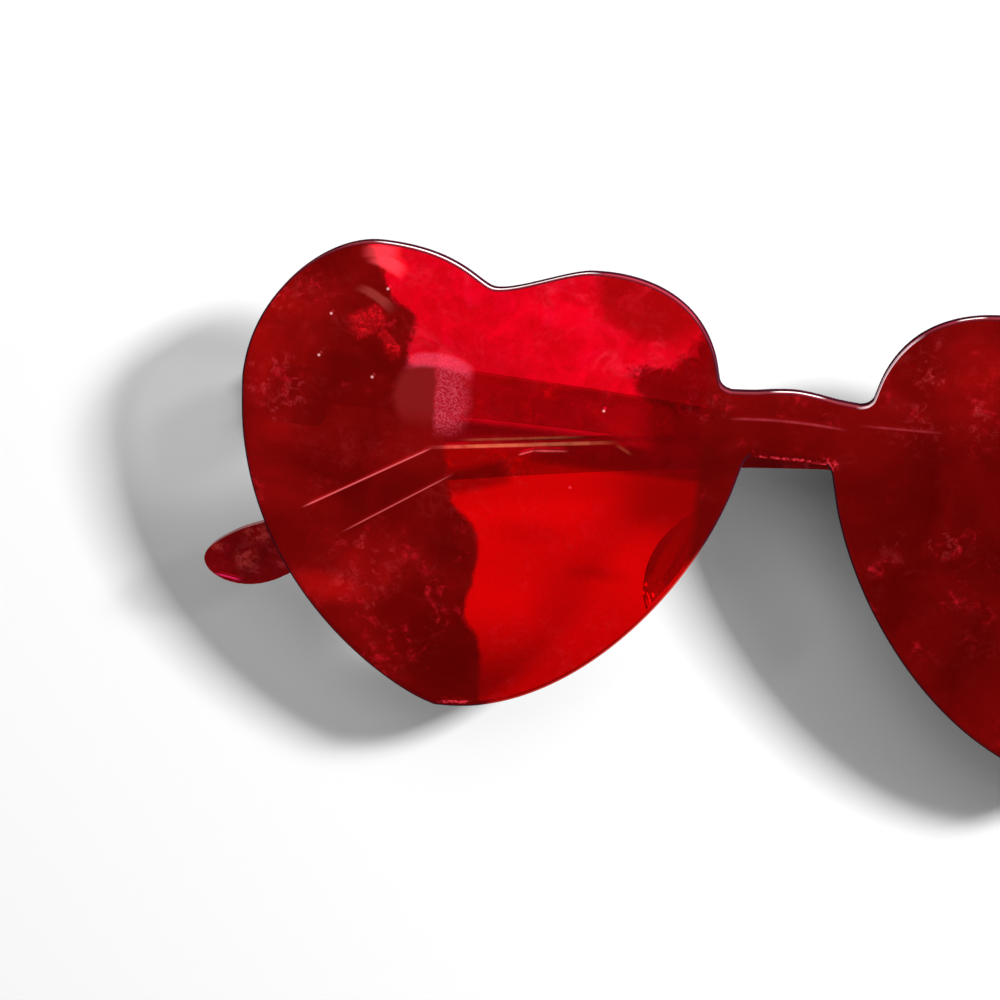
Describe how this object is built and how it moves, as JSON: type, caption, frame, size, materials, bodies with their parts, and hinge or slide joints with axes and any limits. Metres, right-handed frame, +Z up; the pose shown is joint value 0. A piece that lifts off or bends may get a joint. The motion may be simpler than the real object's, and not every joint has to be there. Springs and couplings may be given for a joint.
{
  "type": "heart shaped sunglasses",
  "caption": "Rimless heart shaped sunglasses in clear red plastic, a one-piece front with folding temples and bonded nose pads, lying folded and face up.",
  "frame": {"origin": "on the table, under the middle of the folded glasses' box", "axes": "+X along the front towards the wearer's left hinge, +Y towards the top of the hearts, +Z up from the table; the front faces up and lies pitched by 5.5 degrees, its hearts' tips lower"},
  "size_m": [0.1573, 0.0642, 0.0164],
  "materials": {
    "front_plastic": "clear red sheet, polished, with dust and faint scratches",
    "pad_plastic": "clear red moulding, slightly softened gloss",
    "hinge_plastic": "clear red moulding, polished",
    "screw_steel": "bright plated steel",
    "temple_plastic": "clear red strip, polished, smudged by handling"
  },
  "bodies": {
    "front": {"lens_front": "front_plastic", "left_nose_pad": "pad_plastic", "right_nose_pad": "pad_plastic", "left_hinge_block": "hinge_plastic", "right_hinge_block": "hinge_plastic", "left_hinge_screw": "screw_steel", "right_hinge_screw": "screw_steel"},
    "left_temple": {"left_temple": "temple_plastic"},
    "right_temple": {"right_temple": "temple_plastic"}
  },
  "joints": [
    {"name": "left_fold", "type": "hinge", "parent": "front", "child": "left_temple", "pos_m": [0.0665, 0.01032, 0.00492], "axis": [0, -0.9953, -0.0966], "range_deg": [0, 92.68]},
    {"name": "right_fold", "type": "hinge", "parent": "front", "child": "right_temple", "pos_m": [-0.0665, 0.01032, 0.00492], "axis": [0, 0.9953, 0.0966], "range_deg": [0, 89.95]}
  ]
}
